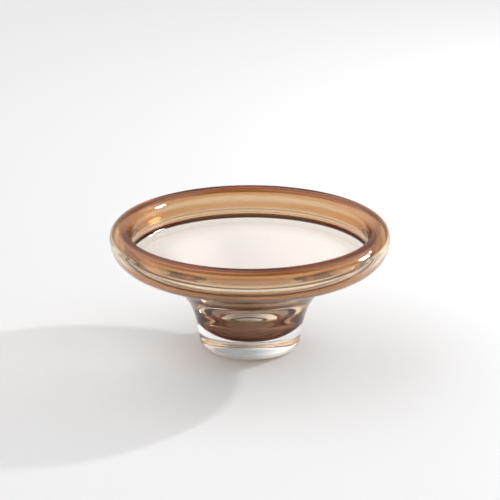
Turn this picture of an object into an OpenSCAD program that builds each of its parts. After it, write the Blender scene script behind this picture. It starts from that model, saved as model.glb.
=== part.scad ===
// Footed art glass bowl with a folded, hollow rim. It is blown glass in layers: a clear skin outside,
// amber glass inside, and a heavy clear foot. Every layer is a solid of revolution about Z.
// Millimetres, +Z up, origin at the centre of the face that the foot rests on.

/* [Whole bowl] */
// Outer diameter, over the rim
rim_d = 310; // [300:1:320]
// Height from the table to the crest of the rim
bowl_h = 141; // [137:0.5:144]

/* [Rim] */
// Radius of the roll over the crest of the rim
crest_r = 11.4; // [10.6:0.2:12]
// Radius of the round underside of the rim
under_r = 28.7; // [27.7:0.2:29.7]
// Depth of the folded lip, from the crest to the seam on the dish
fold_depth = 36.8; // [36:0.2:37.2]
// Glass between the outside of the rim and its air channel
outer_wall = 5.5; // [5:0.5:6]
// Glass between the mouth of the bowl and the air channel
lip_wall = 5.2; // [4.8:0.2:5.8]

/* [Foot] */
// Diameter of the foot above its rounded lower corner
foot_d = 113; // [109:1:115]
// Radius of the foot's fire-polished lower corner
foot_corner_r = 9; // [7:0.5:10]
// Radius of the stem where it starts to flare
neck_r = 68.2; // [66.6:0.2:69.6]
// Height at which the stem starts to flare
neck_z = 52.5; // [51:0.5:54.5]
// Thickness of the clear glass under the well
base_t = 16; // [12:0.5:18]

/* [Amber glass] */
// Thickness of the amber glass over the air channel, on the mouth's side of the crest
crest_amber_t = 3.9; // [2.9:0.1:4.1]
// Thickness of the amber glass on the lip's side of the channel and along its floor
rim_amber_t = 2.2; // [1:0.1:2.4]
// Thickness of the amber glass where it is blown thin, high on the outer side and low on the lip
thin_amber_t = 0.5; // [0.4:0.1:0.9]
// Thickness of the dark amber band in the seam under the lip
seam_amber_t = 1.2; // [0.8:0.1:1.4]
// Thickness of the amber glass on the dish
dish_amber_t = 1.6; // [1:0.1:2]
// Thickness of the amber glass under the well
well_amber_t = 3.2; // [2:0.1:4]

/* [Hidden] */
$fn = 96;

foot_r = foot_d / 2;
rim_r = rim_d / 2;
crest_c = rim_r - crest_r;          // radius to the centre of the crest's roll
crest_z = bowl_h - crest_r;         // height of the centre of the crest's roll
mouth_r = crest_c - crest_r;
under_c = rim_r - under_r;          // radius to the centre of the underside's round
under_z = crest_z - 1.8;            // height of the centre of the underside's round
flare_deg = -80;                    // where the flare meets that round, as an angle about its centre
flare_v = [0.465, 0.885];           // slope of the stem's side where the flare starts
well_v = [0.667, 0.745];            // slope of the inside where the dish turns down into the well
well_top = [50.5, 52.5];            // radius and height of that place
well_low = base_t + well_amber_t;   // height of the well's floor

// Points along an arc about [r, z] from angle a0 to a1, in n steps
function arc(r, z, rad, a0, a1, n) =
    [for (i = [0:n]) let (a = a0 + (a1 - a0) * i / n) [r + rad * cos(a), z + rad * sin(a)]];
// Points along a cubic curve from a to d, drawn towards b and c, in n steps
function curve(a, b, c, d, n) =
    [for (i = [0:n]) let (t = i / n, u = 1 - t) u*u*u*a + 3*u*u*t*b + 3*u*t*t*c + t*t*t*d];
// Points i to j of a path, and a path the other way round
function part_of(p, i, j) = [for (k = [i:j]) p[k]];
function back(p) = [for (k = [len(p) - 1:-1:0]) p[k]];
// Point q moved d to the left of the direction from a to b
function left_of(q, a, b, d) = let (v = (b - a) / norm(b - a)) [q[0] - v[1] * d, q[1] + v[0] * d];

// Outside of the bowl, from the edge of the resting face up to the crest
foot_edge = arc(foot_r - foot_corner_r, foot_corner_r, foot_corner_r, -90, 0, 8);
stem = curve([foot_r, foot_corner_r], [foot_r + 2.2, 21],
    [neck_r, neck_z] - 14 * flare_v, [neck_r, neck_z], 12);
flare_top = [under_c + under_r * cos(flare_deg), under_z + under_r * sin(flare_deg)];
flare = curve([neck_r, neck_z], [neck_r, neck_z] + 17 * flare_v,
    flare_top + 34 * [sin(flare_deg), -cos(flare_deg)], flare_top, 16);
underside = arc(under_c, under_z, under_r, flare_deg, 0, 14);
crest_out = arc(crest_c, crest_z, crest_r, 0, 90, 8);
crest_in = arc(crest_c, crest_z, crest_r, 90, 183, 8);
split = 6;                          // step of the stem where the foot's clear glass ends

// Mouth side of the lip, from its straight part over its rounded edge and back out to the seam on the dish
seam = [mouth_r + 2.2, bowl_h - fold_depth];
lip_edge = concat([[mouth_r - 0.7, bowl_h - 16.5]], arc(mouth_r + 2.4, bowl_h - 22, 4, 185, 255, 8));
seam_face = [[mouth_r + 2, bowl_h - 32.2], seam];
seam_back = [for (p = seam_face) p + [seam_amber_t, 0]];

// Inside of the bowl, from the seam under the lip over the dish and down to the well's floor
dish = curve(seam, seam - [22, 3.4], well_top + 30 * well_v, well_top, 18);
well = curve(well_top, well_top - 15 * well_v, [39.5, well_low], [0, well_low], 14);
inside = concat(dish, part_of(well, 1, 14));
rim_to_well = 18;                   // step of the inside where the dish ends and the well starts
last = len(inside) - 1;
// Thickness of the amber at step k of the inside
function amber_t(k) =
    dish_amber_t + (well_amber_t - dish_amber_t) * max(k - rim_to_well, 0) / (last - rim_to_well);
// Where the amber ends and the clear glass starts, point by point under the inside
amber_back = concat(
    [for (k = [0:last - 1]) left_of(inside[k], inside[max(k - 1, 0)], inside[k + 1], amber_t(k))],
    [[0, base_t]]);
well_cut = 23;                      // step of the inside where the foot's clear glass ends

// Air channel in the rim: over its top, down its outer side to its lowest point and up its inner side
ch_in = mouth_r + lip_wall;
ch_r = (rim_r - outer_wall - ch_in) / 2;
ch_c = ch_in + ch_r;
ch_z = bowl_h - outer_wall - ch_r;
ch_under = under_r - outer_wall;
ch_deg = -54;                       // where the channel's outer side meets its inner side, over the seam
channel = concat(
    arc(ch_c, ch_z, ch_r, 90, 0, 8),
    arc(under_c, under_z, ch_under, 0, ch_deg, 12),
    [[ch_in + 1.2, bowl_h - 28], [ch_in + 0.7, bowl_h - 24], [ch_in + 0.4, bowl_h - 22],
        [ch_in + 0.1, bowl_h - 19.5], [ch_in, bowl_h - 15]],
    part_of(arc(ch_c, ch_z, ch_r, 180, 90, 8), 0, 7));
wrap_low = 21;                      // step of the channel at its lowest point, over the seam
// Thickness of the amber around the channel at step k: thick over its top, even down its inner side as far
// as the lip's rounded edge, and growing down its outer side
function wrap_t(k) =
    channel[k][1] > bowl_h - 10 ? (channel[k][0] < crest_c ? crest_amber_t : crest_amber_t - 1.6) :
    k > wrap_low ? (channel[k][1] > bowl_h - 23 ? rim_amber_t : thin_amber_t) :
    min(rim_amber_t, thin_amber_t + 0.35 * max(bowl_h - 20 - channel[k][1], 0));
// Outer face of the amber around the channel, point by point
wrap = let (n = len(channel))
    [for (k = [0:n - 1]) left_of(channel[k], channel[(k + n - 1) % n], channel[(k + 1) % n], wrap_t(k))];
wrap_end = len(wrap) - 1;

// Spins a closed outline about Z
module spin(outline) {
    rotate_extrude() polygon(outline);
}

// Heavy clear foot, under and around the well
module foot_block() {
    color("white")
        spin(concat([[0, 0]], foot_edge, part_of(stem, 1, split), part_of(amber_back, well_cut, last)));
}

// Clear skin of the stem, the dish's underside and the rim's outer side, up to the crest
module outer_casing() {
    color("lightcyan")
        spin(concat(part_of(stem, split, 12), part_of(flare, 1, 16), part_of(underside, 1, 14), crest_out,
            part_of(wrap, 0, wrap_low), part_of(amber_back, 0, well_cut)));
}

// Clear lip, folded in from the crest and down over its rounded edge to the seam
module folded_lip() {
    color("azure")
        spin(concat(crest_in, lip_edge, [seam_face[0]], seam_back, [seam, amber_back[0]],
            part_of(wrap, wrap_low, wrap_end), [wrap[0]]));
}

// Dense amber glass around the rim's air channel
module rim_lining() {
    color("chocolate")
        rotate_extrude() difference() {
            polygon(wrap);
            polygon(channel);
        }
}

// Dark amber band in the crease where the lip's folded edge is fused to the dish
module seam_band() {
    color("saddlebrown")
        spin(concat(seam_face, back(seam_back)));
}

// Thin amber glass on the dish
module dish_lining() {
    color("sandybrown")
        spin(concat(dish, back(part_of(amber_back, 0, rim_to_well))));
}

// Amber glass around the well in the stem
module well_lining() {
    color("darkorange")
        spin(concat(well, back(part_of(amber_back, rim_to_well, last))));
}

foot_block();
outer_casing();
folded_lip();
rim_lining();
seam_band();
dish_lining();
well_lining();
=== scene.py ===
"""Footed art glass bowl: clear blown glass over amber glass, with a folded, hollow rim and a deep well.

Outlines are lists of (radius, height) in millimetres. Meshes, lamps and the camera are in metres.
"""
from math import cos, sin, radians, hypot, pi
import bpy
import bmesh
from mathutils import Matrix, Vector

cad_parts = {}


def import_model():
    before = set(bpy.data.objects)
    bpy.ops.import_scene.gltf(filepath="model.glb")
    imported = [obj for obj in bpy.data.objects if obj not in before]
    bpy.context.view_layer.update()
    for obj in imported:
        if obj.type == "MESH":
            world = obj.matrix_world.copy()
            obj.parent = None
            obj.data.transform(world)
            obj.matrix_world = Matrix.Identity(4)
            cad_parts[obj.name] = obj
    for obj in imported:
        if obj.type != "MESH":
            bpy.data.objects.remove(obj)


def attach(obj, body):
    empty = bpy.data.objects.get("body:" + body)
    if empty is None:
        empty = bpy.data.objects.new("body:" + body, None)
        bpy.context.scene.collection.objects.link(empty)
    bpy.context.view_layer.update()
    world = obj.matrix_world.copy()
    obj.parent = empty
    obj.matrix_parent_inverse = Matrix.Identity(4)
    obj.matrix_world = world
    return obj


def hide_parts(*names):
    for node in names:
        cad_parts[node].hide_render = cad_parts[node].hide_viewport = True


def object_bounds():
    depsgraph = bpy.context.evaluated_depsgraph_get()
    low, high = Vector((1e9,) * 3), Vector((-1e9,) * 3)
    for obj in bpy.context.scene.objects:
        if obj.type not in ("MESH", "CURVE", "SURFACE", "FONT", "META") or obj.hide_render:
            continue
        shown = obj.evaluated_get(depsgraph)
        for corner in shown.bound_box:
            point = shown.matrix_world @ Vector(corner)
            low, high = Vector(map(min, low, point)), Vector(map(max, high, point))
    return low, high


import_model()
cad_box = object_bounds()

MM = 0.001
SEGMENTS = 288                          # steps around the axis
ON_AXIS = 1e-6                          # a smaller radius is on the axis


# ---- outlines -------------------------------------------------------------------------------------------

def arc(r, z, rad, a0, a1, n):
    """Points along an arc about (r, z) from angle a0 to a1, in degrees."""
    angles = [radians(a0 + (a1 - a0) * i / n) for i in range(n + 1)]
    return [(r + rad * cos(a), z + rad * sin(a)) for a in angles]


def curve(a, b, c, d, n):
    """Points along a cubic curve from a to d, drawn towards b and c."""
    out = []
    for i in range(n + 1):
        t = i / n
        k = ((1 - t) ** 3, 3 * t * (1 - t) ** 2, 3 * t * t * (1 - t), t ** 3)
        out.append(tuple(k[0] * a[j] + k[1] * b[j] + k[2] * c[j] + k[3] * d[j] for j in (0, 1)))
    return out


def moved(p, dr, dz):
    """The point p moved by (dr, dz)."""
    return (p[0] + dr, p[1] + dz)


def beside(path, d, closed=False):
    """The path moved to its left by d, a number or one number for each point."""
    n = len(path)
    out = []
    for i, (r, z) in enumerate(path):
        a = path[(i - 1) % n] if closed else path[max(i - 1, 0)]
        b = path[(i + 1) % n] if closed else path[min(i + 1, n - 1)]
        dr, dz = b[0] - a[0], b[1] - a[1]
        length = hypot(dr, dz)
        dist = d[i] if isinstance(d, list) else d
        out.append((0.0 if r < ON_AXIS else r - dz / length * dist, z + dr / length * dist))
    return out


# Driving sizes. The bowl's radius and height come from the frame.
RIM_R, BOWL_H = round(cad_box[1][0] / MM, 3), round(cad_box[1][2] / MM, 3)
CREST_R, UNDER_R = 11.4, 28.7           # roll over the crest, and the rim's round underside
FOLD_DEPTH = 36.8                       # from the crest down to the lip's seam on the dish
FOOT_R, FOOT_EDGE = 56.5, 9.0
BASE_T = 16.0                           # clear glass under the well
OUTER_WALL, LIP_WALL = 5.5, 5.2         # glass between the air channel and the rim's outside, and the mouth
CREST_AMBER_T, RIM_AMBER_T, THIN_AMBER_T = 3.9, 2.2, 0.5
# the seam's band is painted shade: dense amber that darkens the fold's edge
PAINTED_SEAM_SHADE_T, DISH_AMBER_T, WELL_AMBER_T = 1.2, 1.6, 3.2
GAP = 0.15                              # clear skin between an air surface and the amber under it

# Places that follow from them
CREST = (RIM_R - CREST_R, BOWL_H - CREST_R)
UNDER = (RIM_R - UNDER_R, CREST[1] - 1.8)
MOUTH_R = CREST[0] - CREST_R
NECK, NECK_V = (68.2, 52.5), (0.465, 0.885)     # where the stem starts to flare, and its slope there
FLARE_DEG = -80                         # where the flare meets the underside, as an angle about UNDER
SEAM = (MOUTH_R + 2.2, BOWL_H - FOLD_DEPTH)
SEAM_FACE = [(MOUTH_R + 2, BOWL_H - 32.2), SEAM]
WELL_TOP = (50.5, 52.5)                 # where the dish turns down into the well
WELL_LOW = BASE_T + WELL_AMBER_T


def outside():
    """From the middle of the resting face over the stem, the flare and the rim to the crest's top."""
    edge = arc(FOOT_R - FOOT_EDGE, FOOT_EDGE, FOOT_EDGE, -90, 0, 10)
    foot = [(0.0, 0.0), moved(edge[0], -12, 0)] + edge      # the second point keeps the face's shading flat
    stem = curve((FOOT_R, FOOT_EDGE), (FOOT_R + 2.2, 21),
                 moved(NECK, -14 * NECK_V[0], -14 * NECK_V[1]), NECK, 18)
    underside = arc(*UNDER, UNDER_R, FLARE_DEG, 0, 24)
    a = radians(FLARE_DEG)
    flare = curve(NECK, moved(NECK, 17 * NECK_V[0], 17 * NECK_V[1]),
                  moved(underside[0], 34 * sin(a), -34 * cos(a)), underside[0], 22)
    return foot + stem[1:] + flare[1:] + underside[1:] + arc(*CREST, CREST_R, 0, 90, 12)


def lip_face():
    """The lip from the crest's top, over the mouth and its rounded edge, and out to the seam on the dish."""
    return (arc(*CREST, CREST_R, 90, 183, 14) + [(MOUTH_R - 0.7, BOWL_H - 16.5)]
            + arc(MOUTH_R + 2.4, BOWL_H - 22, 4.0, 185, 255, 10) + SEAM_FACE[:-1])


# Inside of the bowl, from the seam under the lip over the dish and down to the well's floor
DISH = curve(SEAM, moved(SEAM, -22, -3.4), moved(WELL_TOP, 20, 22.4), WELL_TOP, 48)
WELL = curve(WELL_TOP, moved(WELL_TOP, -10, -11.2), (39.5, WELL_LOW), (0.0, WELL_LOW), 36)
INSIDE = DISH + WELL[1:]
WELL_START = len(DISH) - 1


def lining(first, last, thickness):
    """A layer of amber under the points first to last of the inside."""
    face = beside(INSIDE, GAP)[first:last + 1]
    back = beside(INSIDE, GAP + thickness)[first:last + 1]
    return face + back[::-1]


# Air channel in the rim
CH_TOP, CH_OUT, CH_IN = BOWL_H - OUTER_WALL, RIM_R - OUTER_WALL, MOUTH_R + LIP_WALL


def channel():
    """Over the channel's top, down its outer side to its lowest point, and up its inner side."""
    mid, half = (CH_OUT + CH_IN) / 2, (CH_OUT - CH_IN) / 2
    inner = [(CH_IN + dr, BOWL_H - depth)
             for dr, depth in ((1.2, 28), (0.7, 24), (0.4, 22), (0.1, 19.5), (0, 15))]
    return (arc(mid, CH_TOP - half, half, 180, 0, 16)
            + arc(*UNDER, CH_OUT - UNDER[0], 0, -54, 36)[1:] + inner)


def rim_amber_depth(r, z):
    """Amber thickness at a point of the channel: thick over its top, even down the lip's side, and growing
    down the outer side."""
    if z > BOWL_H - 10:
        return CREST_AMBER_T if r < CREST[0] else CREST_AMBER_T - 1.6
    if r < CH_IN + 1.9:
        return RIM_AMBER_T if z > BOWL_H - 23 else THIN_AMBER_T
    return min(THIN_AMBER_T + 0.35 * max(BOWL_H - 20 - z, 0), RIM_AMBER_T)


# ---- meshes ---------------------------------------------------------------------------------------------

def add_turned(bm, outline, hollow):
    """Adds a surface of revolution to bm. The outline runs from axis to axis, or closes on itself."""
    rings = []
    for r, z in outline:
        if r < ON_AXIS:
            rings.append([bm.verts.new((0, 0, z * MM))])
            continue
        turns = [2 * pi * k / SEGMENTS for k in range(SEGMENTS)]
        rings.append([bm.verts.new((r * MM * cos(t), r * MM * sin(t), z * MM)) for t in turns])
    faces = []
    for lower, upper in zip(rings, rings[1:] + rings[:1]):
        if len(lower) == len(upper) == 1:
            continue
        for k in range(SEGMENTS):
            k2 = (k + 1) % SEGMENTS
            if len(lower) == 1:
                faces.append(bm.faces.new((lower[0], upper[k2], upper[k])))
            elif len(upper) == 1:
                faces.append(bm.faces.new((lower[k], lower[k2], upper[0])))
            else:
                faces.append(bm.faces.new((lower[k], lower[k2], upper[k2], upper[k])))
    bmesh.ops.recalc_face_normals(bm, faces=faces)
    if hollow:
        bmesh.ops.reverse_faces(bm, faces=faces)


def new_object(name, bm, material):
    """Puts the finished bm into the scene."""
    mesh = bpy.data.meshes.new(name)
    bm.to_mesh(mesh)
    bm.free()
    mesh.materials.append(material)
    ob = bpy.data.objects.new(name, mesh)
    bpy.context.scene.collection.objects.link(ob)
    return ob


def piece(name, nodes, material, outline, hollow=None):
    """One visible piece, turned from a closed outline. A second outline is a hollow inside it."""
    bm = bmesh.new()
    add_turned(bm, outline, False)
    if hollow:
        add_turned(bm, hollow, True)
    ob = new_object(name, bm, material)
    ob.data.shade_smooth()
    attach(ob, "root")
    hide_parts(*nodes)


# ---- materials ------------------------------------------------------------------------------------------

def nodes_of(name):
    """A new material with an empty node tree and its output."""
    m = bpy.data.materials.new(name)
    m.use_nodes = True
    nt = m.node_tree
    nt.nodes.clear()
    return m, nt, nt.nodes.new("ShaderNodeOutputMaterial")


def add_waves(nt, shader, scale, height):
    """Slight waves that tools leave in hot glass, as a bump stretched around the bowl."""
    coords = nt.nodes.new("ShaderNodeTexCoord")
    mapping = nt.nodes.new("ShaderNodeMapping")
    mapping.inputs["Scale"].default_value = (1, 1, 3)
    noise = nt.nodes.new("ShaderNodeTexNoise")
    noise.inputs["Scale"].default_value = scale
    noise.inputs["Detail"].default_value = 1.0
    bump = nt.nodes.new("ShaderNodeBump")
    bump.inputs["Distance"].default_value = height
    bump.inputs["Strength"].default_value = 1.0
    nt.links.new(coords.outputs["Object"], mapping.inputs["Vector"])
    nt.links.new(mapping.outputs["Vector"], noise.inputs["Vector"])
    nt.links.new(noise.outputs["Fac"], bump.inputs["Height"])
    nt.links.new(bump.outputs["Normal"], shader.inputs["Normal"])


def clear_glass():
    m, nt, out = nodes_of("clear_glass")
    glass = nt.nodes.new("ShaderNodeBsdfGlass")
    glass.inputs["Color"].default_value = (0.985, 0.988, 0.986, 1)
    glass.inputs["Roughness"].default_value = 0.0
    glass.inputs["IOR"].default_value = 1.5
    add_waves(nt, glass, 22, 0.00012)
    nt.links.new(glass.outputs[0], out.inputs["Surface"])
    return m


def amber_glass(name, density, amber):
    """Amber glass inside the clear glass: it only takes light away, by depth.

    Density is green light's, per mm; amber is how much red, green and blue light is taken, against green.
    """
    top = 1.86                          # above every number in amber, so that no colour is negative
    m, nt, out = nodes_of(name)
    see = nt.nodes.new("ShaderNodeBsdfTransparent")
    volume = nt.nodes.new("ShaderNodeVolumeAbsorption")
    volume.inputs["Color"].default_value = tuple(1 - a / top for a in amber) + (1,)
    volume.inputs["Density"].default_value = top * density / MM
    nt.links.new(see.outputs[0], out.inputs["Surface"])
    nt.links.new(volume.outputs[0], out.inputs["Volume"])
    return m


# ---- the bowl -------------------------------------------------------------------------------------------

def clear_body():
    """All the clear glass, with the air channel as a hollow in it."""
    piece("clear_body", ("foot_block", "outer_casing", "folded_lip"), clear_glass(),
          outside() + lip_face()[1:] + INSIDE, channel())


def rim_amber():
    """The amber around the air channel."""
    hollow = channel()
    outer = beside(hollow, [GAP + rim_amber_depth(*p) for p in hollow], closed=True)
    inner = beside(hollow, GAP, closed=True)
    piece("rim_amber", ("rim_lining",),
          amber_glass("rim_amber_glass", 0.225, (0.37, 1.0, 1.8)), outer, inner)


def painted_seam_shade():
    """The dark band behind the seam's face. It is painted shade: its amber is far denser than the rim's, so
    it stands in for the dark edge where the fold's surface turns away from view.
    """
    face = [moved(p, GAP, 0) for p in SEAM_FACE]
    back = [moved(p, GAP + PAINTED_SEAM_SHADE_T, 0) for p in SEAM_FACE[::-1]]
    # painted shade: this density and colour give the dark line along the fold's edge
    piece("painted_seam_shade", ("seam_band",),
          amber_glass("seam_amber_glass", 1.7, (0.66, 1.0, 1.35)), face + back)


def dish_amber():
    """The thin, pale layer under the dish."""
    piece("dish_amber", ("dish_lining",),
          amber_glass("pale_amber_glass", 0.055, (0.36, 1.0, 1.78)), lining(0, WELL_START, DISH_AMBER_T))


def well_amber():
    """The smoky layer around the well."""
    piece("well_amber", ("well_lining",),
          amber_glass("well_amber_glass", 0.16, (0.58, 1.0, 1.42)),
          lining(WELL_START, len(INSIDE) - 1, WELL_AMBER_T))


# ---- floor, light and camera ----------------------------------------------------------------------------

def floor(gap):
    """A plain, pale floor, a small gap under the bowl because glass that touches it renders black."""
    m, nt, out = nodes_of("floor")
    p = nt.nodes.new("ShaderNodeBsdfPrincipled")
    p.inputs["Base Color"].default_value = (0.9, 0.9, 0.905, 1)
    p.inputs["Roughness"].default_value = 0.8
    nt.links.new(p.outputs[0], out.inputs["Surface"])
    bm = bmesh.new()
    bmesh.ops.create_grid(bm, x_segments=1, y_segments=1, size=6)
    bmesh.ops.translate(bm, verts=bm.verts, vec=(0, 0, -gap))
    new_object("floor", bm, m)


def lamp(name, at, size, power):
    """A round lamp that faces the bowl."""
    light = bpy.data.lights.new(name, 'AREA')
    light.shape = 'DISK'
    light.size = size
    light.energy = power
    ob = bpy.data.objects.new(name, light)
    ob.location = at
    ob.rotation_euler = (Vector((0, 0, 0.05)) - Vector(at)).to_track_quat('-Z', 'Y').to_euler()
    bpy.context.scene.collection.objects.link(ob)
    return ob


def world(base, patches):
    """A dim studio with soft bright patches: (direction, degrees to its full part's edge, and to its end,
    strength)."""
    w = bpy.data.worlds.new("studio")
    bpy.context.scene.world = w
    w.use_nodes = True
    nt = w.node_tree
    nt.nodes.clear()
    out = nt.nodes.new("ShaderNodeOutputWorld")
    shade = nt.nodes.new("ShaderNodeBackground")
    coords = nt.nodes.new("ShaderNodeTexCoord")
    total = None
    for direction, full, gone, strength in patches:
        along = nt.nodes.new("ShaderNodeVectorMath")
        along.operation = 'DOT_PRODUCT'
        along.inputs[1].default_value = Vector(direction).normalized()
        glow = nt.nodes.new("ShaderNodeMapRange")
        glow.interpolation_type = 'SMOOTHSTEP'
        for key, value in (("From Min", cos(radians(gone))), ("From Max", cos(radians(full))),
                           ("To Min", 0.0), ("To Max", strength)):
            glow.inputs[key].default_value = value
        add = nt.nodes.new("ShaderNodeMath")
        add.operation = 'ADD'
        add.inputs[1].default_value = base
        nt.links.new(coords.outputs["Generated"], along.inputs[0])
        nt.links.new(along.outputs["Value"], glow.inputs["Value"])
        nt.links.new(glow.outputs[0], add.inputs[0])
        if total:
            nt.links.new(total.outputs[0], add.inputs[1])
        total = add
    nt.links.new(total.outputs[0], shade.inputs["Strength"])
    nt.links.new(shade.outputs[0], out.inputs[0])


def camera(elevation, distance, aim_height, width):
    """Looks from the front at a point aim_height over the table. The picture is width across there."""
    data = bpy.data.cameras.new("camera")
    ob = bpy.data.objects.new("camera", data)
    bpy.context.scene.collection.objects.link(ob)
    e = radians(elevation)
    view = Vector((0, cos(e), -sin(e)))
    ob.location = Vector((0, 0, aim_height)) - view * distance
    ob.rotation_euler = view.to_track_quat('-Z', 'Y').to_euler()
    data.sensor_width = 36
    data.lens = data.sensor_width * distance / width
    bpy.context.scene.camera = ob


clear_body()
rim_amber()
painted_seam_shade()
dish_amber()
well_amber()

floor(0.0005)
lamp("key", (1.47, 0.89, 1.0), 0.1, 15.2)
glint = lamp("glint", (1.3, 0.28, 0.55), 0.34, 28)      # only for highlights on the glass
glint.visible_diffuse = False
world(0.36, [((0, 1, 0.1), 40, 75, 0.15), ((-0.9, 0.4, 1.0), 15, 60, 1.35), ((0.9, 0.4, 1.0), 12, 35, 1.7)])
camera(19.5, 2.025, 0.11123, 0.5548)

scene = bpy.context.scene
scene.cycles.max_bounces = 32
scene.cycles.transmission_bounces = 32
scene.cycles.glossy_bounces = 12
scene.cycles.transparent_max_bounces = 64
scene.cycles.use_denoising = True
scene.view_settings.view_transform = 'Standard'
